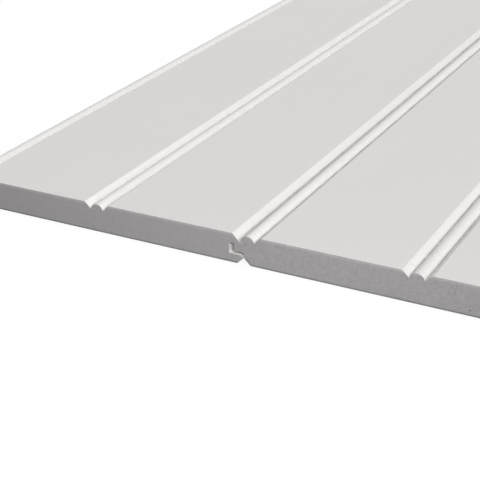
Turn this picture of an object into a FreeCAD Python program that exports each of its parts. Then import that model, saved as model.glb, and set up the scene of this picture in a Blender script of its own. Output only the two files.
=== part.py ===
"""Beadboard panel: two tongue-and-groove planks of cellular PVC, fitted edge to edge.

Each plank is one extruded board, half an inch thick, that covers five and a half inches.
Its face has a bead along the tongue edge and another down the middle. Each bead lies flush
between two V-grooves. The groove edge is bevelled as the first wall of a V-groove, so that
the joint looks like the middle bead. The back is plain, with bevels that make a V at the joint.

Frame: X across the panel from tongue to groove, Y along it, Z up from the back to the face.
The origin is in the middle of the panel, on the floor that its back lies on.
"""

import FreeCAD
import Part
import Sketcher
import math
import os

SIZES = {
    "board_length": 2438.4,          # eight feet, as such planks are sold
    "board_thickness": 12.7,
    "cover_width": 139.7,            # from one plank to the same point of the next
    "face_gap": 1.1,                 # open joint between a face lip and the next bead
    "bead_radius": 2.8,
    "crest_drop": 0.2,               # how far the top of a bead lies below the face
    "vee_angle": 45.0,               # slope of the V-groove walls, in degrees
    "arris_radius": 1.0,             # soft edge where the face turns down into a V-groove
    "quirk_depth": 2.4,              # underside of the edge bead, below the face
    "shoulder_relief": 1.0,          # how far the shoulder stands back under the edge bead
    "tongue_length": 4.1,
    "tongue_thickness": 3.2,
    "tongue_radius": 0.6,            # rounded edges of the tongue's tip
    "nose_height": 1.1,              # flat end of the face lip, between its bevel and the groove
    "over_tongue_clearance": 0.2,
    "under_tongue_clearance": 1.4,
    "tongue_tip_clearance": 2.4,
    "lead_in_length": 2.2,           # slope on the end of the back lip, where a tongue enters
    "lead_in_drop": 0.7,
    "butt_gap": 0.1,                 # between the back lip and the next plank's shoulder
    "back_bevel": 2.9,
    "back_arris_radius": 1.2,        # soft edge where a bevel meets the back
    "cutter_rise": 1.0,              # how far a cut runs past the surface that it opens
}

# Sizes that follow from the driving ones, as expressions on the sheet's cells.
BEADS = 2                            # one on the tongue edge, the rest with equal flats between
FACE_END = "(Sizes.cover_width - Sizes.face_gap)"
BEAD_SPACING = f"({FACE_END} / {BEADS})"
BEAD_WIDTH = "(2 * Sizes.bead_radius)"
VEE_DEPTH = "(Sizes.bead_radius + Sizes.crest_drop)"
VEE_RUN = f"({VEE_DEPTH} / tan(Sizes.vee_angle * 1 deg))"
THICKNESS = "Sizes.board_thickness"
GROOVE_TOP = f"({THICKNESS} - {VEE_DEPTH} - Sizes.nose_height)"
TONGUE_TOP = f"({GROOVE_TOP} - Sizes.over_tongue_clearance)"
TONGUE_BOTTOM = f"({TONGUE_TOP} - Sizes.tongue_thickness)"
GROOVE_BOTTOM = f"({TONGUE_BOTTOM} - Sizes.under_tongue_clearance)"
GROOVE_MIDDLE = f"(({GROOVE_TOP} + {GROOVE_BOTTOM}) / 2)"
TONGUE_TIP = "(Sizes.shoulder_relief - Sizes.tongue_length)"
BACK_LIP_END = "(Sizes.cover_width + Sizes.shoulder_relief - Sizes.butt_gap)"
GROOVE_BACK = f"(Sizes.cover_width + {TONGUE_TIP} - Sizes.tongue_tip_clearance)"
PANEL_WIDTH = f"(Sizes.cover_width + {BACK_LIP_END} - {TONGUE_TIP})"
LEFT_BOARD_X = f"(-{PANEL_WIDTH} / 2 - {TONGUE_TIP})"
RIGHT_BOARD_X = f"({LEFT_BOARD_X} + Sizes.cover_width)"

ORIGIN_POINT = (-1, 1)               # a sketch's own origin, as its constraints name it
START, END, CENTRE = range(1, 4)     # the points of a line or an arc, as constraints count them


def make_sheet(doc):
    """The driving dimensions, one cell each, in millimetres or degrees."""
    sheet = doc.addObject("Spreadsheet::Sheet", "Sizes")
    for row, (name, value) in enumerate(SIZES.items(), start=1):
        sheet.set(f"A{row}", name)
        sheet.set(f"B{row}", str(value))
        sheet.setAlias(f"B{row}", name)
    doc.recompute()
    return sheet


def value_of(doc, expression):
    """The number that an expression on the sheet comes to."""
    return float(FreeCAD.Units.Quantity(doc.Sizes.evalExpression(expression)).Value)


def origin_feature(body, role):
    return next(f for f in body.Origin.OriginFeatures if f.Role == role)


def section_sketch(body, name):
    """A sketch across the board: its x is the board's X, and its y the board's Z."""
    sketch = body.newObject("Sketcher::SketchObject", name)
    sketch.AttachmentSupport = [(origin_feature(body, "XZ_Plane"), "")]
    sketch.MapMode = "FlatFace"
    return sketch


def bind(sketch, kind, geometry, point, expression):
    """Holds one coordinate of a point to an expression, measured from the sketch's origin."""
    value = value_of(sketch.Document, expression)
    index = sketch.addConstraint(
        Sketcher.Constraint(kind, *ORIGIN_POINT, geometry, point, value)
    )
    sketch.setExpression(f"Constraints[{index}]", expression)


def draw_outline(sketch, corners):
    """A closed outline of straight lines through corners, each given as two expressions."""
    doc = sketch.Document
    points = [
        FreeCAD.Vector(value_of(doc, x), value_of(doc, z), 0) for x, z in corners
    ]
    count = len(points)
    for i in range(count):
        sketch.addGeometry(Part.LineSegment(points[i], points[(i + 1) % count]), False)
    for i in range(count):
        following = (i + 1) % count
        sketch.addConstraint(Sketcher.Constraint("Coincident", i, END, following, START))
    for i, (x, z) in enumerate(corners):
        bind(sketch, "DistanceX", i, START, x)
        bind(sketch, "DistanceY", i, START, z)


def draw_bead_cut(sketch):
    """What a cutter takes from the face round one bead: V-groove, round bead, V-groove."""
    above_face = f"({THICKNESS} + Sizes.cutter_rise)"
    vee_floor = f"({THICKNESS} - {VEE_DEPTH})"
    far_edge = f"({BEAD_WIDTH} + {VEE_RUN})"
    corners = [
        (BEAD_WIDTH, vee_floor),
        (far_edge, THICKNESS),
        (far_edge, above_face),
        (f"(-{VEE_RUN})", above_face),
        (f"(-{VEE_RUN})", THICKNESS),
        ("0", vee_floor),
    ]
    doc = sketch.Document
    points = [
        FreeCAD.Vector(value_of(doc, x), value_of(doc, z), 0) for x, z in corners
    ]
    last = len(points) - 1
    for i in range(last):
        sketch.addGeometry(Part.LineSegment(points[i], points[i + 1]), False)
    radius = value_of(doc, "Sizes.bead_radius")
    bead_centre = (points[0] + points[last]) / 2
    circle = Part.Circle(bead_centre, FreeCAD.Vector(0, 0, 1), radius)
    bead = sketch.addGeometry(Part.ArcOfCircle(circle, 0, math.pi), False)

    for i in range(last - 1):
        sketch.addConstraint(Sketcher.Constraint("Coincident", i, END, i + 1, START))
    sketch.addConstraint(Sketcher.Constraint("Coincident", bead, START, 0, START))
    sketch.addConstraint(Sketcher.Constraint("Coincident", bead, END, last - 1, END))
    for i, (x, z) in enumerate(corners[1:last], start=1):
        bind(sketch, "DistanceX", i, START, x)
        bind(sketch, "DistanceY", i, START, z)
    bind(sketch, "DistanceX", bead, CENTRE, "Sizes.bead_radius")
    for point in (START, CENTRE, END):
        bind(sketch, "DistanceY", bead, point, vee_floor)
    index = sketch.addConstraint(Sketcher.Constraint("Radius", bead, radius))
    sketch.setExpression(f"Constraints[{index}]", "Sizes.bead_radius")


def long_edges(shape, places):
    """Names of the edges that run the board's whole length through the given X, Z places."""
    names = []
    for x, z in places:
        for number, edge in enumerate(shape.Edges, start=1):
            ends = [v.Point for v in edge.Vertexes]
            if len(ends) != 2 or abs(ends[0].y - ends[1].y) < shape.BoundBox.YLength * 0.99:
                continue
            if all(abs(p.x - x) < 1e-4 and abs(p.z - z) < 1e-4 for p in ends):
                names.append(f"Edge{number}")
    return names


def soften(body, kind, name, places, size_property, expression):
    """A fillet or chamfer on the long edges at the given places."""
    doc = body.Document
    base = body.Tip
    spots = [(value_of(doc, x), value_of(doc, z)) for x, z in places]
    edges = long_edges(base.Shape, spots)
    if len(edges) != len(places):
        raise ValueError(f"{name}: found {len(edges)} edges for {len(places)} places")
    feature = body.newObject(kind, name)
    feature.Base = (base, edges)
    feature.setExpression(size_property, expression)
    doc.recompute()
    return feature


def extrude(body, kind, name, sketch):
    """A pad or pocket of a section sketch over the board's whole length, both ways from it."""
    feature = body.newObject(kind, name)
    feature.Profile = sketch
    feature.Midplane = True
    feature.setExpression("Length", "Sizes.board_length")
    sketch.Visibility = False
    body.Document.recompute()
    return feature


def make_board(doc, label, x_expression):
    """One plank. Its own X starts at the outer edge of the bead along its tongue edge."""
    body = doc.addObject("PartDesign::Body", label)
    body.Label = label

    blank = section_sketch(body, f"{label}_blank_section")
    under_bead = f"({THICKNESS} - Sizes.quirk_depth)"
    draw_outline(
        blank,
        [
            ("Sizes.shoulder_relief", "0"),
            (BACK_LIP_END, "0"),
            (BACK_LIP_END, GROOVE_MIDDLE),
            (FACE_END, GROOVE_MIDDLE),
            (FACE_END, f"({THICKNESS} - {VEE_DEPTH})"),
            (f"({FACE_END} - {VEE_RUN})", THICKNESS),
            ("0", THICKNESS),
            ("0", under_bead),
            ("Sizes.shoulder_relief", under_bead),
        ],
    )
    extrude(body, "PartDesign::Pad", f"{label}_blank", blank)

    tongue = section_sketch(body, f"{label}_tongue_section")
    draw_outline(
        tongue,
        [
            (TONGUE_TIP, TONGUE_BOTTOM),
            ("Sizes.shoulder_relief", TONGUE_BOTTOM),
            ("Sizes.shoulder_relief", TONGUE_TOP),
            (TONGUE_TIP, TONGUE_TOP),
        ],
    )
    extrude(body, "PartDesign::Pad", f"{label}_tongue", tongue)

    groove = section_sketch(body, f"{label}_groove_section")
    groove_mouth = f"({BACK_LIP_END} + Sizes.cutter_rise)"
    lip_tip = f"({GROOVE_BOTTOM} - Sizes.lead_in_drop)"
    draw_outline(
        groove,
        [
            (GROOVE_BACK, GROOVE_BOTTOM),
            (f"({BACK_LIP_END} - Sizes.lead_in_length)", GROOVE_BOTTOM),
            (BACK_LIP_END, lip_tip),
            (groove_mouth, lip_tip),
            (groove_mouth, GROOVE_TOP),
            (GROOVE_BACK, GROOVE_TOP),
        ],
    )
    extrude(body, "PartDesign::Pocket", f"{label}_groove", groove)

    bead_cut = section_sketch(body, f"{label}_bead_section")
    draw_bead_cut(bead_cut)
    first_bead = extrude(body, "PartDesign::Pocket", f"{label}_bead", bead_cut)
    beads = body.newObject("PartDesign::LinearPattern", f"{label}_beads")
    beads.Originals = [first_bead]
    beads.Direction = (bead_cut, ["H_Axis"])
    beads.Occurrences = BEADS
    beads.setExpression("Length", f"({BEAD_SPACING} * {BEADS - 1})")
    body.Tip = beads
    doc.recompute()

    soften(
        body, "PartDesign::Chamfer", f"{label}_back_bevels",
        [("Sizes.shoulder_relief", "0"), (BACK_LIP_END, "0")],
        "Size", "Sizes.back_bevel",
    )
    soften(
        body, "PartDesign::Fillet", f"{label}_back_arrises",
        [
            ("(Sizes.shoulder_relief + Sizes.back_bevel)", "0"),
            (f"({BACK_LIP_END} - Sizes.back_bevel)", "0"),
        ],
        "Radius", "Sizes.back_arris_radius",
    )
    soften(
        body, "PartDesign::Fillet", f"{label}_tongue_tip",
        [(TONGUE_TIP, TONGUE_TOP), (TONGUE_TIP, TONGUE_BOTTOM)],
        "Radius", "Sizes.tongue_radius",
    )
    face_arrises = [(f"({FACE_END} - {VEE_RUN})", THICKNESS)]
    for bead in range(BEADS):
        bead_edge = f"({bead} * {BEAD_SPACING})"
        face_arrises.append((f"({bead_edge} + {BEAD_WIDTH} + {VEE_RUN})", THICKNESS))
        if bead > 0:
            face_arrises.append((f"({bead_edge} - {VEE_RUN})", THICKNESS))
    soften(
        body, "PartDesign::Fillet", f"{label}_face_arrises",
        face_arrises, "Radius", "Sizes.arris_radius",
    )

    body.setExpression("Placement.Base.x", x_expression)
    doc.recompute()
    return body


def check_document(doc, boards):
    """Stops the build where an object failed or a board isn't one sound solid."""
    for item in doc.Objects:
        if {"Invalid", "Error"} & set(item.State):
            raise ValueError(f"{item.Name} failed: {item.State}")
    for board in boards:
        shape = board.Shape
        if shape.isNull() or not shape.isValid() or len(shape.Solids) != 1:
            raise ValueError(f"{board.Label} isn't one valid solid")


def main():
    doc = FreeCAD.newDocument("beadboard_panel")
    make_sheet(doc)
    boards = [
        make_board(doc, "left_board", LEFT_BOARD_X),
        make_board(doc, "right_board", RIGHT_BOARD_X),
    ]
    doc.recompute()
    check_document(doc, boards)
    os.makedirs("parts", exist_ok=True)
    for board in boards:
        board.Shape.exportStep(f"parts/{board.Label}.step")
        box = board.Shape.BoundBox
        print(
            f"{board.Label}: {board.Shape.Volume:.0f} mm3,"
            f" x {box.XMin:.2f} to {box.XMax:.2f},"
            f" y {box.YMin:.2f} to {box.YMax:.2f},"
            f" z {box.ZMin:.2f} to {box.ZMax:.2f}"
        )


main()
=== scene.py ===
"""A panel of two beadboard planks in white foamed PVC, lying face up in plain studio light."""

import math
import random

import bmesh
import bpy
from mathutils import Euler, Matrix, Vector
from mathutils.kdtree import KDTree


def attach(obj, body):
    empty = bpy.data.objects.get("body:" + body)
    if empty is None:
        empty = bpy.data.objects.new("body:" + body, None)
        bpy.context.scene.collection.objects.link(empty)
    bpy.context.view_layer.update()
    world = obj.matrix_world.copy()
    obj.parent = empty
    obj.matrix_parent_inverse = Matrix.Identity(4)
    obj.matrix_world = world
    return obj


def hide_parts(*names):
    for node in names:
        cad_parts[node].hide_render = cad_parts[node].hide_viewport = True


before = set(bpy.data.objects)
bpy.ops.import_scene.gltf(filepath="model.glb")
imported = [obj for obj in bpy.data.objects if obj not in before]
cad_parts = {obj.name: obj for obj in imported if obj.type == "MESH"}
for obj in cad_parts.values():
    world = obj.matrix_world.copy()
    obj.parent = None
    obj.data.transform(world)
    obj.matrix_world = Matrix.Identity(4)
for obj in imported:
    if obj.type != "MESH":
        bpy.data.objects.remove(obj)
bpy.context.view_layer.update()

# The section of a plank, in millimetres: x from the outer side of its edge bead, z from its back.
MM = 0.001
LENGTH = 2438.4
THICKNESS = 12.7
COVER = 139.7
FACE_GAP = 1.1
BEAD_RADIUS = 2.8
BEAD_MIDDLE = THICKNESS - 3.0
VEE_DEPTH = 3.0
SHOULDER = 1.0
QUIRK_TOP = 10.3
TONGUE_TIP = -3.1
TONGUE_TOP = 8.4
TONGUE_UNDER = 5.2
NOSE = COVER - FACE_GAP
MIDDLE_BEAD = NOSE / 2 + BEAD_RADIUS
GROOVE_TOP = 8.6
GROOVE_UNDER = 3.8
GROOVE_BACK = 134.2
LEAD_IN = 138.4
NOSE_ARRIS = NOSE - 2.7
NOSE_LIP = 140.4
NOSE_LIP_TOP = 9.3
BACK_LIP = 140.6
BACK_LIP_TOP = 3.1
BACK_BEVEL = 2.9

# Radii of the rounded corners, width of the broken sawn edges, and steps over a bead.
FACE_ARRIS = 1.0
BACK_ARRIS = 1.2
TONGUE_ARRIS = 0.6
CUTTER_CORNER = 0.35
LIP_CORNER = 0.2
SAWN_ARRIS = 0.14
BEAD_STEPS = 28

# The two sawn ends, by the side of the middle they lie on.
NEAR_END = -1
FAR_END = 1

# Cells of the foam that stand open on the sawn ends. Those seen give x, z and radius.
SMALL_CELLS = (0.1, 0.22)
CELL_MARGIN = 0.6
CELL_SPACING = 1.5
CELL_STRETCH = (1.0, 2.0, 0.8)
SEEN_CELLS = [(92.1, 2.3, 0.42), (86.6, 8.2, 0.2), (39.6, 10.5, 0.2)]

# Where a plank's own x starts in the panel, still in millimetres.
LEFT_PLACE = -NOSE
RIGHT_PLACE = FACE_GAP

# From here on, lengths are in metres. Free nose: where the nose that no plank covers begins.
HALF_LENGTH = LENGTH * MM / 2
FREE_NOSE = (RIGHT_PLACE + NOSE_ARRIS) * MM

# How close two places count as one, and how close a corner lies to where it was drawn.
SAME_PLACE = 0.000001
NEAR_PLACE = 0.00001

# How far in from the saw cut a face still belongs to the end, and how far from the outline a
# corner still belongs to the broken edge and not to an open cell.
END_REACH = 0.0006
CELL_WALL = 0.00025

# Between these heights every face is milled. Level: how upright the normal of a flat stands.
LOWEST_MILLED = 0.0001
HIGHEST_MILLED = 0.01265
LEVEL = 0.999

# The flat layout of a plank that its looks are baked on, its length cut into strips.
STRIPS = 6
STRIP_LENGTH = LENGTH * MM / STRIPS
MAP_COLUMNS = 3
MAP_ROWS = STRIPS // MAP_COLUMNS
MAP_GAP = 0.004
END_ENLARGED = 6.0

# Colours of the foam, of what lies on it and of painted shade, and the share of painted shade in the
# joint.
SKIN_WHITE = (0.877, 0.855, 0.841, 1)
MILLED_WHITE = (0.875, 0.861, 0.848, 1)
# Sawn ends: grey partly from their dull open cells and partly painted shade.
SAWN_GREY_AND_SHADE = (0.365, 0.353, 0.355, 1)
FRAYED_WHITE = (0.93, 0.92, 0.91, 1)
SKIN_RIM = (0.7, 0.69, 0.68, 1)
# Colours of the painted shade in the pits of open cells.
PIT_SHADE_GREY = (0.5, 0.49, 0.48, 1)
SAWN_PIT_SHADE_GREY = (0.16, 0.16, 0.16, 1)
# Colour of the painted shade down in the open cells.
CELL_SHADE_BLACK = (0.05, 0.05, 0.05, 1)
# Dust colour, also used for painted shade low in the grooves and by the joint.
DUST_AND_SHADE_GREY = (0.36, 0.35, 0.33, 1)
# Colour of the painted shade along the lower edges of the sawn ends.
EDGE_SHADE_GREY = (0.12, 0.12, 0.12, 1)
# Share of painted shade on the edge bead's side of the joint.
JOINT_SHADE = 0.5

# The room: floor, sky and lamps. The lamps' azimuths, heights and spread are in degrees.
WHITE = (1, 1, 1, 1)
FLOOR_SIZE = 16
FLOOR_DROP = 0.0003
FLOOR_FOR_LIGHT = (0.3, 0.3, 0.3, 1)
FLOOR_FOR_SHADOW = (0.16, 0.16, 0.16, 1)
FLOOR_GLOW = 0.88
SKY_STRENGTH = 0.28
SUN_SPREAD = 20
SOFTBOX_AIM = (0.025, -1.2, 0.01)

# The camera, turned in degrees, with lens and sensor in millimetres.
CAMERA_PLACE = (0.2053, -1.5772, 0.2166)
CAMERA_TURN = (63.4242, 1.8171, 28.8408)
CAMERA_LENS = 89.747
CAMERA_SENSOR = 36


def deselect_all():
    """Drop the selection that loading the frame leaves behind."""
    bpy.ops.object.select_all(action="DESELECT")


def section_point(x, z):
    """The place in the room of a point of the left plank's near section."""
    return Vector(((x + LEFT_PLACE) * MM, -HALF_LENGTH, z * MM))


def draw_lines(pen, corners):
    """Extrude the outline's last vertex through straight runs and return where it ends."""
    for x, z in corners:
        corner = section_point(x, z)
        bpy.ops.mesh.extrude_vertices_move(TRANSFORM_OT_translate={"value": corner - pen})
        pen = corner
    return pen


def draw_bead(middle, turn):
    """Spin the outline's last vertex over the top of a bead and return where it ends."""
    centre = section_point(middle, BEAD_MIDDLE)
    bpy.ops.mesh.spin(steps=BEAD_STEPS, angle=turn, center=centre, axis=(0, 1, 0))
    edited = bmesh.from_edit_mesh(bpy.context.object.data)
    return next(v.co.copy() for v in edited.verts if v.select)


def round_corners(corners, radius, turn, steps):
    """Round drawn corners that all turn by the same angle."""
    edited = bmesh.from_edit_mesh(bpy.context.object.data)
    places = [section_point(x, z) for x, z in corners]
    for vertex in edited.verts:
        vertex.select = min((vertex.co - place).length for place in places) < NEAR_PLACE
    edited.select_flush_mode()
    cut_back = radius * MM * math.tan(turn / 2)
    bpy.ops.mesh.bevel(offset=cut_back, segments=steps, affect="VERTICES", profile=0.5)


def draw_section():
    """Trace the plank's outline at its near end as a loop of edges and close it with a face."""
    start = section_point(SHOULDER + BACK_BEVEL, 0)
    bpy.ops.mesh.primitive_plane_add(size=BACK_BEVEL * MM, location=start)
    bpy.ops.object.transform_apply(location=True)
    bpy.ops.object.mode_set(mode="EDIT")
    bpy.ops.mesh.select_mode(type="VERT")
    bpy.ops.mesh.merge(type="CENTER")
    pen = draw_lines(
        start,
        [
            (BACK_LIP - BACK_BEVEL, 0),
            (BACK_LIP, BACK_BEVEL),
            (BACK_LIP, BACK_LIP_TOP),
            (LEAD_IN, GROOVE_UNDER),
            (GROOVE_BACK, GROOVE_UNDER),
            (GROOVE_BACK, GROOVE_TOP),
            (NOSE_LIP, GROOVE_TOP),
            (NOSE_LIP, NOSE_LIP_TOP),
            (NOSE, NOSE_LIP_TOP),
            (NOSE, BEAD_MIDDLE),
            (NOSE_ARRIS, THICKNESS),
            (MIDDLE_BEAD + BEAD_RADIUS + VEE_DEPTH, THICKNESS),
            (MIDDLE_BEAD + BEAD_RADIUS, BEAD_MIDDLE),
        ],
    )
    pen = draw_bead(MIDDLE_BEAD, math.pi)
    pen = draw_lines(
        pen,
        [
            (MIDDLE_BEAD - BEAD_RADIUS - VEE_DEPTH, THICKNESS),
            (2 * BEAD_RADIUS + VEE_DEPTH, THICKNESS),
            (2 * BEAD_RADIUS, BEAD_MIDDLE),
        ],
    )
    under_bead = math.asin((QUIRK_TOP - BEAD_MIDDLE) / BEAD_RADIUS)
    pen = draw_bead(BEAD_RADIUS, math.pi - under_bead)
    draw_lines(
        pen,
        [
            (SHOULDER, QUIRK_TOP),
            (SHOULDER, TONGUE_TOP),
            (TONGUE_TIP, TONGUE_TOP),
            (TONGUE_TIP, TONGUE_UNDER),
            (SHOULDER, TONGUE_UNDER),
            (SHOULDER, BACK_BEVEL),
            (SHOULDER + BACK_BEVEL, 0),
        ],
    )
    bpy.ops.mesh.select_all(action="SELECT")
    bpy.ops.mesh.remove_doubles(threshold=SAME_PLACE)


def round_section():
    """Round the corners that the mill rounds."""
    bevelled = math.radians(45)
    square = math.radians(90)
    nose_turn = math.atan(VEE_DEPTH / (NOSE - NOSE_ARRIS))
    round_corners([(NOSE_ARRIS, THICKNESS)], FACE_ARRIS, nose_turn, 6)
    face_arrises = [
        (MIDDLE_BEAD + BEAD_RADIUS + VEE_DEPTH, THICKNESS),
        (MIDDLE_BEAD - BEAD_RADIUS - VEE_DEPTH, THICKNESS),
        (2 * BEAD_RADIUS + VEE_DEPTH, THICKNESS),
    ]
    round_corners(face_arrises, FACE_ARRIS, bevelled, 6)
    back_arrises = [(BACK_LIP - BACK_BEVEL, 0), (SHOULDER + BACK_BEVEL, 0)]
    round_corners(back_arrises, BACK_ARRIS, bevelled, 5)
    tongue_corners = [(TONGUE_TIP, TONGUE_TOP), (TONGUE_TIP, TONGUE_UNDER)]
    round_corners(tongue_corners, TONGUE_ARRIS, square, 6)
    cutter_corners = [
        (GROOVE_BACK, GROOVE_UNDER),
        (GROOVE_BACK, GROOVE_TOP),
        (SHOULDER, TONGUE_TOP),
        (SHOULDER, TONGUE_UNDER),
    ]
    round_corners(cutter_corners, CUTTER_CORNER, square, 4)
    round_corners([(SHOULDER, BACK_BEVEL)], CUTTER_CORNER, bevelled, 3)
    lip_corners = [(NOSE_LIP, GROOVE_TOP), (NOSE_LIP, NOSE_LIP_TOP), (NOSE, NOSE_LIP_TOP)]
    round_corners(lip_corners, LIP_CORNER, square, 3)


def extrude_plank():
    """Fill the outline, draw it out to the plank's length in strips and break its sawn edges."""
    bpy.ops.mesh.select_all(action="SELECT")
    bpy.ops.mesh.edge_face_add()
    bpy.ops.mesh.extrude_region_move(TRANSFORM_OT_translate={"value": (0, LENGTH * MM, 0)})
    bpy.ops.mesh.select_all(action="SELECT")
    bpy.ops.mesh.normals_make_consistent(inside=False)
    for number in range(1, STRIPS):
        cut = (0, number * STRIP_LENGTH - HALF_LENGTH, 0)
        bpy.ops.mesh.select_all(action="SELECT")
        bpy.ops.mesh.bisect(plane_co=cut, plane_no=(0, 1, 0))
    edited = bmesh.from_edit_mesh(bpy.context.object.data)
    bpy.ops.mesh.select_mode(type="EDGE")
    for edge in edited.edges:
        edge.select = all(HALF_LENGTH - abs(vertex.co.y) < SAME_PLACE for vertex in edge.verts)
    edited.select_flush_mode()
    bpy.ops.mesh.bevel(offset=SAWN_ARRIS * MM, segments=3, affect="EDGES")
    bpy.ops.object.mode_set(mode="OBJECT")


def make_plank(name):
    """Build the left plank in its place."""
    draw_section()
    round_section()
    extrude_plank()
    plank = bpy.context.object
    plank.name = name
    plank.data.name = name
    return plank


def take_up(piece):
    """Select one piece alone and make it the active one."""
    deselect_all()
    piece.select_set(True)
    bpy.context.view_layer.objects.active = piece


def copy_plank(plank, name, shift):
    """Copy the plank with a mesh of its own, one cover width along."""
    take_up(plank)
    bpy.ops.object.duplicate(linked=False)
    copy = bpy.context.object
    copy.name = name
    copy.data.name = name
    copy.location.x = shift
    bpy.ops.object.transform_apply(location=True, rotation=False, scale=False)
    return copy


def clear_of_outline(x, z):
    """Whether a cell here lies in solid foam, away from the joint's lips and the beads."""
    solid = 2 * BEAD_RADIUS + VEE_DEPTH < x < GROOVE_BACK - CELL_MARGIN
    by_middle_bead = abs(x - MIDDLE_BEAD) < BEAD_RADIUS + VEE_DEPTH + CELL_MARGIN
    return solid and not (by_middle_bead and z > BEAD_MIDDLE - CELL_MARGIN)


def scatter_cells(seed, count, cells):
    """Add open cells at chance places in the section, apart from one another."""
    dice = random.Random(seed)
    found = list(cells)
    while len(found) < len(cells) + count:
        x = dice.uniform(0, COVER)
        z = dice.uniform(CELL_MARGIN, THICKNESS - CELL_MARGIN)
        apart = all(math.hypot(x - a, z - b) > CELL_SPACING for a, b, radius in found)
        if apart and clear_of_outline(x, z):
            found.append((x, z, dice.uniform(*SMALL_CELLS)))
    return found


def hollow_cells(plank, place, end, cells):
    """Sink open cells into one sawn end of a plank."""
    balls = []
    for x, z, radius in cells:
        middle = ((x + place) * MM, end * HALF_LENGTH, z * MM)
        bpy.ops.mesh.primitive_ico_sphere_add(subdivisions=2, radius=radius * MM, location=middle)
        bpy.ops.transform.resize(value=CELL_STRETCH)
        balls.append(bpy.context.object)
    for ball in balls:
        ball.select_set(True)
    bpy.ops.object.join()
    cutter = bpy.context.object
    take_up(plank)
    hollow = plank.modifiers.new("open_cells", "BOOLEAN")
    hollow.object = cutter
    hollow.solver = "EXACT"
    bpy.ops.object.modifier_apply(modifier=hollow.name)
    bpy.data.objects.remove(cutter)


def smooth_plank(plank):
    """Shade the rounds smooth and keep the flats flat."""
    take_up(plank)
    bpy.ops.object.shade_smooth_by_angle(angle=math.radians(32))
    even = plank.modifiers.new("even_flats", "WEIGHTED_NORMAL")
    even.keep_sharp = True
    even.weight = 100
    bpy.ops.object.modifier_apply(modifier=even.name)


def walk_outline(mesh):
    """The places round the plank's middle section, how far along each lies, and the whole girth."""
    body = bmesh.new()
    body.from_mesh(mesh)
    start = next(corner for corner in body.verts if abs(corner.co.y) < SAME_PLACE)
    corner = start
    last = None
    girth = 0.0
    places = []
    while not places or corner is not start:
        places.append((corner.co.copy(), girth))
        for edge in corner.link_edges:
            if edge is not last and abs(edge.other_vert(corner).co.y) < SAME_PLACE:
                break
        girth += edge.calc_length()
        corner = edge.other_vert(corner)
        last = edge
    body.free()
    return places, girth


def lay_out_plank(plank, place):
    """Lay the plank out flat: its length in strips side by side, its two ends enlarged above them."""
    mesh = plank.data
    places, girth = walk_outline(mesh)
    finder = KDTree(len(places))
    for number, (corner, walked) in enumerate(places):
        finder.insert(corner, number)
    finder.balance()
    column_width = girth + MAP_GAP
    row_height = STRIP_LENGTH + MAP_GAP
    whole = MAP_COLUMNS * column_width + MAP_GAP
    layout = mesh.uv_layers.new(name="OFBake").data
    for face in mesh.polygons:
        at_end = HALF_LENGTH - abs(face.center.y) < END_REACH
        strip = int((face.center.y + HALF_LENGTH) / STRIP_LENGTH)
        row, column = divmod(strip, MAP_COLUMNS)
        corners = [mesh.vertices[number] for number in face.vertices]
        found = [finder.find((corner.co.x, 0, corner.co.z))[1:] for corner in corners]
        numbers = [number for number, off in found]
        over_start = max(numbers) - min(numbers) > len(places) / 2
        for loop, corner, (number, off) in zip(face.loop_indices, corners, found):
            if at_end:
                sunk = HALF_LENGTH - abs(corner.co.y) if off < CELL_WALL else 0.0
                x = corner.co.x + corner.normal.x * sunk - (place + TONGUE_TIP) * MM
                z = corner.co.z + corner.normal.z * sunk
                rows_up = MAP_GAP + MAP_ROWS * row_height
                if face.center.y > 0:
                    rows_up += THICKNESS * MM * END_ENLARGED + MAP_GAP
                flat = (MAP_GAP + x * END_ENLARGED, rows_up + z * END_ENLARGED)
            else:
                walked = girth if over_start and number == 0 else places[number][1]
                along = corner.co.y + HALF_LENGTH - strip * STRIP_LENGTH
                flat = (MAP_GAP + column * column_width + walked, MAP_GAP + row * row_height + along)
            layout[loop].uv = (flat[0] / whole, flat[1] / whole)


def add_node(tree, kind, inputs, **settings):
    """Add a node, and give each input a value or the output that feeds it."""
    node = tree.nodes.new(kind)
    for name, value in settings.items():
        setattr(node, name, value)
    for place, value in inputs.items():
        if isinstance(value, bpy.types.NodeSocket):
            tree.links.new(value, node.inputs[place])
        else:
            node.inputs[place].default_value = value
    return node


def work_out(tree, operation, first, second):
    """One step of arithmetic on two values."""
    return add_node(tree, "ShaderNodeMath", {0: first, 1: second}, operation=operation).outputs[0]


def grade(tree, value, start, end, low, high):
    """Carry a value smoothly from one range to another."""
    inputs = {"Value": value, "From Min": start, "From Max": end, "To Min": low, "To Max": high}
    return add_node(tree, "ShaderNodeMapRange", inputs, interpolation_type="SMOOTHSTEP").outputs[0]


def blend_colours(tree, share, first, second, how="MIX"):
    """Mix two colours, by the node's own colour sockets."""
    inputs = {0: share, 6: first, 7: second}
    mix = add_node(tree, "ShaderNodeMix", inputs, data_type="RGBA", blend_type=how)
    return mix.outputs[2]


def start_effect(name, inputs, outputs):
    """Start a group for an effect that several finishes share."""
    group = bpy.data.node_groups.new(name, "ShaderNodeTree")
    for label, (kind, value) in inputs.items():
        socket = group.interface.new_socket(name=label, in_out="INPUT", socket_type=kind)
        socket.default_value = value
    for label, kind in outputs.items():
        group.interface.new_socket(name=label, in_out="OUTPUT", socket_type=kind)
    given = group.nodes.new("NodeGroupInput").outputs
    result = group.nodes.new("NodeGroupOutput").inputs
    place = group.nodes.new("ShaderNodeTexCoord").outputs["Object"]
    return group, given, result, place


def use_effect(tree, group, values):
    """Place an effect in a material with its own values."""
    node = tree.nodes.new("ShaderNodeGroup")
    node.node_tree = group
    for label, value in values.items():
        if isinstance(value, bpy.types.NodeSocket):
            tree.links.new(value, node.inputs[label])
        else:
            node.inputs[label].default_value = value
    return node.outputs


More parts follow.
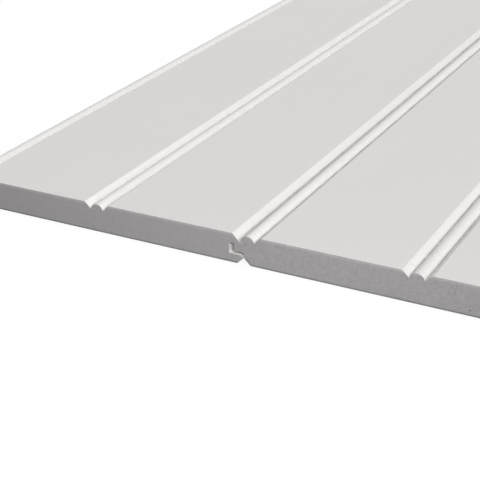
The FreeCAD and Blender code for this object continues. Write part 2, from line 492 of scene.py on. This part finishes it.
def make_tone_drift():
    """Cloudy lighter and darker patches, as in a batch of foam."""
    inputs = {
        "Colour": ("NodeSocketColor", (0.8, 0.8, 0.8, 1)),
        "Patches Per Metre": ("NodeSocketFloat", 10),
        "Amount": ("NodeSocketFloat", 0.02),
    }
    group, given, result, place = start_effect("tone_drift", inputs, {"Colour": "NodeSocketColor"})
    clouds = {"Vector": place, "Scale": given["Patches Per Metre"], "Detail": 3.0, "Roughness": 0.55}
    noise = add_node(group, "ShaderNodeTexNoise", clouds).outputs[0]
    dark = work_out(group, "SUBTRACT", 1.0, given["Amount"])
    light = work_out(group, "ADD", 1.0, given["Amount"])
    tone = grade(group, noise, 0.25, 0.75, dark, light)
    toned = blend_colours(group, 1.0, given["Colour"], tone, "MULTIPLY")
    group.links.new(toned, result["Colour"])
    return group


def make_tool_marks():
    """Fine lines that a die, a cutter or a saw leaves, drawn out one way."""
    inputs = {
        "Marks Per Metre": ("NodeSocketVector", (500, 5, 500)),
        "Depth": ("NodeSocketFloat", 0.00001),
    }
    outputs = {"Shade": "NodeSocketFloat", "Height": "NodeSocketFloat"}
    group, given, result, place = start_effect("tool_marks", inputs, outputs)
    steps = {0: place, 1: given["Marks Per Metre"]}
    drawn = add_node(group, "ShaderNodeVectorMath", steps, operation="MULTIPLY").outputs[0]
    lines = {"Vector": drawn, "Scale": 1.0, "Detail": 2.0, "Roughness": 0.6}
    noise = add_node(group, "ShaderNodeTexNoise", lines).outputs[0]
    height = work_out(group, "MULTIPLY", noise, given["Depth"])
    group.links.new(noise, result["Shade"])
    group.links.new(height, result["Height"])
    return group


def make_foam_cells():
    """Cells of the foam that stand open as tiny pits."""
    inputs = {
        "Cells Per Metre": ("NodeSocketFloat", 1000),
        "Open Share": ("NodeSocketFloat", 0.1),
        "Depth": ("NodeSocketFloat", 0.00005),
    }
    outputs = {"Pit": "NodeSocketFloat", "Height": "NodeSocketFloat"}
    group, given, result, place = start_effect("foam_cells", inputs, outputs)
    packing = {"Vector": place, "Scale": given["Cells Per Metre"]}
    cells = add_node(group, "ShaderNodeTexVoronoi", packing, feature="F1")
    lot = add_node(group, "ShaderNodeSeparateColor", {0: cells.outputs["Color"]}).outputs[0]
    opened = work_out(group, "LESS_THAN", lot, given["Open Share"])
    hollow = grade(group, cells.outputs["Distance"], 0.18, 0.45, 1.0, 0.0)
    pit = work_out(group, "MULTIPLY", opened, hollow)
    depth = work_out(group, "MULTIPLY", pit, given["Depth"])
    height = work_out(group, "MULTIPLY", depth, -1.0)
    group.links.new(pit, result["Pit"])
    group.links.new(height, result["Height"])
    return group


def make_height_band():
    """An uneven band between two heights, for dust, painted shade or a denser skin."""
    inputs = {
        "Nothing At": ("NodeSocketFloat", 0.01),
        "Full At": ("NodeSocketFloat", 0.0),
        "Amount": ("NodeSocketFloat", 0.5),
    }
    group, given, result, place = start_effect("height_band", inputs, {"Band": "NodeSocketFloat"})
    height = add_node(group, "ShaderNodeSeparateXYZ", {0: place}).outputs["Z"]
    reach = grade(group, height, given["Nothing At"], given["Full At"], 0.0, 1.0)
    blotches = {"Vector": place, "Scale": 110.0, "Detail": 4.0, "Roughness": 0.6}
    noise = add_node(group, "ShaderNodeTexNoise", blotches).outputs[0]
    uneven = grade(group, noise, 0.25, 0.75, 0.7, 1.1)
    patchy = work_out(group, "MULTIPLY", reach, uneven)
    band = work_out(group, "MULTIPLY", patchy, given["Amount"])
    group.links.new(band, result["Band"])
    return group


def measure_from_end(group, place):
    """How far in from the nearer saw cut a place lies."""
    along = add_node(group, "ShaderNodeSeparateXYZ", {0: place}).outputs["Y"]
    return work_out(group, "SUBTRACT", HALF_LENGTH, work_out(group, "ABSOLUTE", along, 0.0))


def make_sawn_fray():
    """Roughened surface within a short reach of the saw cuts."""
    inputs = {
        "Reach": ("NodeSocketFloat", 0.0006),
        "Amount": ("NodeSocketFloat", 0.5),
    }
    group, given, result, place = start_effect("sawn_fray", inputs, {"Fray": "NodeSocketFloat"})
    near = grade(group, measure_from_end(group, place), 0.0, given["Reach"], 1.0, 0.0)
    nicks = {"Vector": place, "Scale": 900.0, "Detail": 2.0}
    noise = add_node(group, "ShaderNodeTexNoise", nicks).outputs[0]
    broken = work_out(group, "MULTIPLY", near, grade(group, noise, 0.4, 0.6, 0.2, 1.0))
    fray = work_out(group, "MULTIPLY", broken, given["Amount"])
    group.links.new(fray, result["Fray"])
    return group


def make_painted_cell_shade():
    """Painted shade down inside a cell that stands open on a sawn end."""
    inputs = {
        "Starts At": ("NodeSocketFloat", 0.0001),
        "Full At": ("NodeSocketFloat", 0.0003),
    }
    group, given, result, place = start_effect("painted_cell_shade", inputs, {"Gloom": "NodeSocketFloat"})
    depth = measure_from_end(group, place)
    gloom = grade(group, depth, given["Starts At"], given["Full At"], 0.0, 1.0)
    group.links.new(gloom, result["Gloom"])
    return group


def make_painted_bevel_shade():
    """Painted shade along the slanting edge between a plank's shoulder and its back."""
    inputs = {
        "Full At": ("NodeSocketFloat", 0.0004),
        "Nothing At": ("NodeSocketFloat", 0.0014),
        "Amount": ("NodeSocketFloat", 0.5),
    }
    group, given, result, place = start_effect("painted_bevel_shade", inputs, {"Painted Shade": "NodeSocketFloat"})
    spread = add_node(group, "ShaderNodeSeparateXYZ", {0: place}).outputs
    slant = work_out(group, "ADD", spread["X"], spread["Z"])
    beside = 0.0
    for edge in (LEFT_PLACE, RIGHT_PLACE):
        past_bevel = work_out(group, "SUBTRACT", slant, (edge + SHOULDER + BACK_BEVEL) * MM)
        inside = grade(group, past_bevel, -0.0001, 0.0, 0.0, 1.0)
        close = grade(group, past_bevel, given["Full At"], given["Nothing At"], 1.0, 0.0)
        beside = work_out(group, "MAXIMUM", beside, work_out(group, "MULTIPLY", inside, close))
    low = grade(group, spread["Z"], (BACK_BEVEL - 0.3) * MM, (BACK_BEVEL + 0.2) * MM, 1.0, 0.0)
    along_bevel = work_out(group, "MULTIPLY", beside, low)
    painted_edge_shade = work_out(group, "MULTIPLY", along_bevel, given["Amount"])
    group.links.new(painted_edge_shade, result["Painted Shade"])
    return group


def make_effects():
    """Build each shared effect once."""
    return {
        "drift": make_tone_drift(),
        "marks": make_tool_marks(),
        "cells": make_foam_cells(),
        "band": make_height_band(),
        "fray": make_sawn_fray(),
        "gloom": make_painted_cell_shade(),
        "bevel": make_painted_bevel_shade(),
    }


def start_material(name):
    """A new material with its shader and node tree."""
    material = bpy.data.materials.new(name)
    material.use_nodes = True
    tree = material.node_tree
    return material, tree, tree.nodes["Principled BSDF"]


def paint_pit_shade(tree, pits, share, colour, pit_shade_colour):
    """Darken a colour in the pits of open cells, as painted shade."""
    depth = work_out(tree, "MULTIPLY", pits, share)
    return blend_colours(tree, depth, colour, pit_shade_colour)


def set_relief(tree, shader, height, strength):
    """Feed the heights to the shader as bumps."""
    bump = add_node(tree, "ShaderNodeBump", {"Strength": strength, "Distance": 1.0, "Height": height})
    tree.links.new(bump.outputs[0], shader.inputs["Normal"])


def make_extruded_skin(effects):
    """The dense satin skin on the face and the back, with faint die lines along it."""
    material, tree, shader = start_material("extruded_skin")
    broad = {"Colour": SKIN_WHITE, "Patches Per Metre": 6.0, "Amount": 0.008}
    colour = use_effect(tree, effects["drift"], broad)["Colour"]
    fine = {"Colour": colour, "Patches Per Metre": 330.0, "Amount": 0.004}
    colour = use_effect(tree, effects["drift"], fine)["Colour"]
    fray = use_effect(tree, effects["fray"], {"Reach": 0.0007, "Amount": 0.5})["Fray"]
    colour = blend_colours(tree, fray, colour, FRAYED_WHITE)
    pinholes = {"Cells Per Metre": 420.0, "Open Share": 0.004, "Depth": 0.00002}
    cells = use_effect(tree, effects["cells"], pinholes)
    # Painted shade in the skin's pinholes.
    colour = paint_pit_shade(tree, cells["Pit"], 0.12, colour, PIT_SHADE_GREY)
    die_lines = {"Marks Per Metre": (420.0, 2.5, 420.0), "Depth": 0.000006}
    marks = use_effect(tree, effects["marks"], die_lines)
    satin = grade(tree, marks["Shade"], 0.3, 0.7, 0.46, 0.53)
    tree.links.new(colour, shader.inputs["Base Color"])
    tree.links.new(work_out(tree, "ADD", satin, fray), shader.inputs["Roughness"])
    set_relief(tree, shader, work_out(tree, "ADD", marks["Height"], cells["Height"]), 1.0)
    return material


def add_face_dust_and_shade(tree, effects):
    """How thick dust and painted shade lie low in the face's grooves, and painted shade on the bead's
    side of the joint.
    """
    # Dust and painted shade low in the grooves.
    low_in_grooves = {"Nothing At": 0.0106, "Full At": 0.0099, "Amount": 0.5}
    groove_dust_and_shade = use_effect(tree, effects["band"], low_in_grooves)["Band"]
    above_tongue = {"Nothing At": 0.0088, "Full At": 0.0093, "Amount": 1.0}
    on_face_side = use_effect(tree, effects["band"], above_tongue)["Band"]
    place = tree.nodes.new("ShaderNodeTexCoord").outputs["Object"]
    across = add_node(tree, "ShaderNodeSeparateXYZ", {0: place}).outputs["X"]
    short_of_nose = grade(tree, across, FREE_NOSE - MM, FREE_NOSE, 1.0, 0.0)
    in_grooves = work_out(tree, "MULTIPLY", groove_dust_and_shade, short_of_nose)
    # Painted shade on the left side of the right plank's edge bead, which faces away from the key
    # lamp.
    starts = grade(tree, across, (RIGHT_PLACE - 0.3) * MM, RIGHT_PLACE * MM, 0.0, JOINT_SHADE)
    ends = grade(tree, across, (RIGHT_PLACE + 0.8) * MM, (RIGHT_PLACE + 2.9) * MM, 1.0, 0.0)
    painted_joint_shade = work_out(tree, "MULTIPLY", starts, ends)
    deepest = work_out(tree, "MAXIMUM", in_grooves, painted_joint_shade)
    return work_out(tree, "MULTIPLY", deepest, on_face_side)


def make_milled_foam(effects):
    """Foam cut by the moulder: beads, grooves, tongue and bevels, with dust and painted shade low on
    the face.
    """
    material, tree, shader = start_material("milled_foam")
    broad = {"Colour": MILLED_WHITE, "Patches Per Metre": 35.0, "Amount": 0.012}
    colour = use_effect(tree, effects["drift"], broad)["Colour"]
    fine = {"Colour": colour, "Patches Per Metre": 900.0, "Amount": 0.03}
    colour = use_effect(tree, effects["drift"], fine)["Colour"]
    fray = use_effect(tree, effects["fray"], {"Reach": 0.0005, "Amount": 0.5})["Fray"]
    colour = blend_colours(tree, fray, colour, FRAYED_WHITE)
    open_cells = {"Cells Per Metre": 1300.0, "Open Share": 0.08, "Depth": 0.00006}
    cells = use_effect(tree, effects["cells"], open_cells)
    # Painted shade in the milled foam's open cells.
    colour = paint_pit_shade(tree, cells["Pit"], 0.25, colour, PIT_SHADE_GREY)
    colour = blend_colours(tree, add_face_dust_and_shade(tree, effects), colour, DUST_AND_SHADE_GREY)
    chatter = {"Marks Per Metre": (25.0, 620.0, 25.0), "Depth": 0.00001}
    marks = use_effect(tree, effects["marks"], chatter)
    matt = grade(tree, marks["Shade"], 0.3, 0.7, 0.54, 0.62)
    tree.links.new(colour, shader.inputs["Base Color"])
    tree.links.new(work_out(tree, "ADD", matt, fray), shader.inputs["Roughness"])
    set_relief(tree, shader, work_out(tree, "ADD", marks["Height"], cells["Height"]), 1.0)
    return material


def make_sawn_foam(effects, name, mottle, open_share):
    """The sawn ends: dull open foam, greyer than the skin partly by painted shade, with painted shade
    on the lower edges and down in the cells.
    """
    material, tree, shader = start_material(name)
    # Base grey of the sawn end, partly painted shade.
    broad = {"Colour": SAWN_GREY_AND_SHADE, "Patches Per Metre": 14.0, "Amount": 0.03}
    colour = use_effect(tree, effects["drift"], broad)["Colour"]
    fine = {"Colour": colour, "Patches Per Metre": 800.0, "Amount": mottle}
    colour = use_effect(tree, effects["drift"], fine)["Colour"]
    skin_edge = {"Nothing At": 0.0112, "Full At": 0.0125, "Amount": 0.28}
    rim = use_effect(tree, effects["band"], skin_edge)["Band"]
    colour = blend_colours(tree, rim, colour, SKIN_RIM)
    # Painted shade along the lowest edge of the sawn end and along the back bevels, which face away
    # from the lamps.
    low_edge_shade = {"Nothing At": 0.0011, "Full At": 0.0002, "Amount": 0.8}
    painted_edge_shade = use_effect(tree, effects["band"], low_edge_shade)["Band"]
    on_bevel = {"Full At": 0.0004, "Nothing At": 0.0014, "Amount": 0.8}
    bevel = use_effect(tree, effects["bevel"], on_bevel)["Painted Shade"]
    painted_edge_shade = work_out(tree, "MAXIMUM", painted_edge_shade, bevel)
    colour = blend_colours(tree, painted_edge_shade, colour, EDGE_SHADE_GREY)
    # Painted shade down in the open cells of the sawn end.
    in_cells = {"Starts At": 0.00015, "Full At": 0.0004}
    gloom = use_effect(tree, effects["gloom"], in_cells)["Gloom"]
    colour = blend_colours(tree, gloom, colour, CELL_SHADE_BLACK)
    # Painted shade in the pits of the coarse and the finest cells below.
    coarse = {"Cells Per Metre": 1500.0, "Open Share": open_share, "Depth": 0.0001}
    cells = use_effect(tree, effects["cells"], coarse)
    colour = paint_pit_shade(tree, cells["Pit"], 0.4, colour, SAWN_PIT_SHADE_GREY)
    finest = {"Cells Per Metre": 4200.0, "Open Share": 0.5, "Depth": 0.00004}
    grain = use_effect(tree, effects["cells"], finest)
    colour = paint_pit_shade(tree, grain["Pit"], 0.2, colour, SAWN_PIT_SHADE_GREY)
    saw_lines = {"Marks Per Metre": (700.0, 700.0, 60.0), "Depth": 0.00003}
    marks = use_effect(tree, effects["marks"], saw_lines)
    dull = grade(tree, marks["Shade"], 0.3, 0.7, 0.78, 0.88)
    tree.links.new(colour, shader.inputs["Base Color"])
    tree.links.new(dull, shader.inputs["Roughness"])
    rough = work_out(tree, "ADD", cells["Height"], grain["Height"])
    set_relief(tree, shader, work_out(tree, "ADD", marks["Height"], rough), 0.6)
    return material


def dress_plank(plank, skin, milled, sawn):
    """Skin on the flats of face and back, milled foam between them, sawn foam on the two ends."""
    finishes = (skin, milled, sawn)
    for material in finishes:
        plank.data.materials.append(material)
    for face in plank.data.polygons:
        at_end = HALF_LENGTH - abs(face.center.y) < END_REACH
        milled_height = LOWEST_MILLED < face.center.z < HIGHEST_MILLED
        on_flat = abs(face.normal.z) > LEVEL and not milled_height
        face.material_index = finishes.index(sawn if at_end else skin if on_flat else milled)


def add_seen_rays(tree):
    """One where a ray comes from the camera, a gloss or clear glass."""
    path = tree.nodes.new("ShaderNodeLightPath").outputs
    either = work_out(tree, "MAXIMUM", path["Is Camera Ray"], path["Is Glossy Ray"])
    return work_out(tree, "MAXIMUM", either, path["Is Transmission Ray"])


def lay_floor():
    """A pale floor that looks white to the camera and keeps the panel's shadow."""
    bpy.ops.mesh.primitive_plane_add(size=FLOOR_SIZE, location=(0, 0, -FLOOR_DROP))
    floor = bpy.context.object
    floor.name = "floor"
    material = bpy.data.materials.new("white_floor")
    material.use_nodes = True
    tree = material.node_tree
    tree.nodes.clear()
    hidden = add_node(tree, "ShaderNodeBsdfDiffuse", {"Color": FLOOR_FOR_LIGHT})
    shaded = add_node(tree, "ShaderNodeBsdfDiffuse", {"Color": FLOOR_FOR_SHADOW})
    glow = add_node(tree, "ShaderNodeEmission", {"Color": WHITE, "Strength": FLOOR_GLOW})
    shown = add_node(tree, "ShaderNodeAddShader", {0: shaded.outputs[0], 1: glow.outputs[0]})
    choice = {0: add_seen_rays(tree), 1: hidden.outputs[0], 2: shown.outputs[0]}
    mix = add_node(tree, "ShaderNodeMixShader", choice)
    add_node(tree, "ShaderNodeOutputMaterial", {"Surface": mix.outputs[0]})
    floor.data.materials.append(material)


def add_sun(name, strength, azimuth, height):
    """A far lamp as strong as a white sky of that strength, azimuth counted from -Y towards +X."""
    bpy.ops.object.light_add(type="SUN", location=(0, 0, 3))
    lamp = bpy.context.object
    lamp.name = name
    lamp.data.angle = math.radians(SUN_SPREAD)
    lamp.data.energy = math.pi * strength
    lamp.rotation_euler = (math.radians(90 - height), 0, math.radians(azimuth))


def add_softbox(name, strength, azimuth, height, distance, size):
    """A small soft lamp close to the near end, aimed at it."""
    way = Vector((0, -1, 0))
    way.rotate(Euler((math.radians(-height), 0, 0)))
    way.rotate(Euler((0, 0, math.radians(azimuth))))
    aim = Vector(SOFTBOX_AIM)
    bpy.ops.object.light_add(type="AREA", location=aim + way * distance)
    lamp = bpy.context.object
    lamp.name = name
    lamp.data.shape = "SQUARE"
    lamp.data.size = size
    lamp.data.energy = (math.pi * distance) ** 2 * strength
    lamp.rotation_euler = (math.radians(90 - height), 0, math.radians(azimuth))
    lamp.visible_camera = False
    lamp.visible_glossy = False


def light_room():
    """White surroundings to look at, an even sky to be lit by, a key from the right front."""
    world = bpy.data.worlds.new("studio")
    bpy.context.scene.world = world
    world.use_nodes = True
    tree = world.node_tree
    tree.nodes.clear()
    dim = add_node(tree, "ShaderNodeBackground", {"Color": WHITE, "Strength": SKY_STRENGTH})
    white = add_node(tree, "ShaderNodeBackground", {"Color": WHITE, "Strength": 1.0})
    choice = {0: add_seen_rays(tree), 1: dim.outputs[0], 2: white.outputs[0]}
    mix = add_node(tree, "ShaderNodeMixShader", choice)
    add_node(tree, "ShaderNodeOutputWorld", {"Surface": mix.outputs[0]})
    add_sun("key_lamp", strength=0.55, azimuth=48, height=40)
    add_sun("side_lamp", strength=0.13, azimuth=100, height=32)
    add_softbox("side_box", strength=0.06, azimuth=100, height=35, distance=0.55, size=0.2)
    add_softbox("front_box", strength=0.29, azimuth=8, height=8, distance=0.23, size=0.05)


def place_camera():
    """A camera low over the near end, looking along the boards from the right."""
    bpy.ops.object.camera_add(location=CAMERA_PLACE)
    camera = bpy.context.object
    camera.rotation_euler = [math.radians(turn) for turn in CAMERA_TURN]
    camera.data.lens = CAMERA_LENS
    camera.data.sensor_width = CAMERA_SENSOR
    camera.data.clip_start = 0.01
    camera.data.clip_end = 60
    bpy.context.scene.camera = camera


def main():
    """Build the two planks, dress them and set them in the room."""
    deselect_all()
    left = make_plank("left_plank")
    effects = make_effects()
    skin = make_extruded_skin(effects)
    milled = make_milled_foam(effects)
    right = copy_plank(left, "right_plank", COVER * MM)
    hollow_cells(left, LEFT_PLACE, NEAR_END, scatter_cells(seed=1, count=7, cells=[]))
    hollow_cells(left, LEFT_PLACE, FAR_END, scatter_cells(seed=2, count=12, cells=[]))
    hollow_cells(right, RIGHT_PLACE, NEAR_END, scatter_cells(seed=3, count=14, cells=SEEN_CELLS))
    hollow_cells(right, RIGHT_PLACE, FAR_END, scatter_cells(seed=4, count=12, cells=[]))
    for plank, place in ((left, LEFT_PLACE), (right, RIGHT_PLACE)):
        smooth_plank(plank)
        lay_out_plank(plank, place)
    close = make_sawn_foam(effects, "sawn_foam_close", mottle=0.03, open_share=0.05)
    dress_plank(left, skin, milled, close)
    coarse = make_sawn_foam(effects, "sawn_foam_open", mottle=0.068, open_share=0.11)
    dress_plank(right, skin, milled, coarse)
    for plank, node in ((left, "left_board"), (right, "right_board")):
        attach(plank, "root")
        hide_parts(node)
    lay_floor()
    light_room()
    place_camera()
    bpy.context.scene.view_settings.view_transform = "Standard"


main()
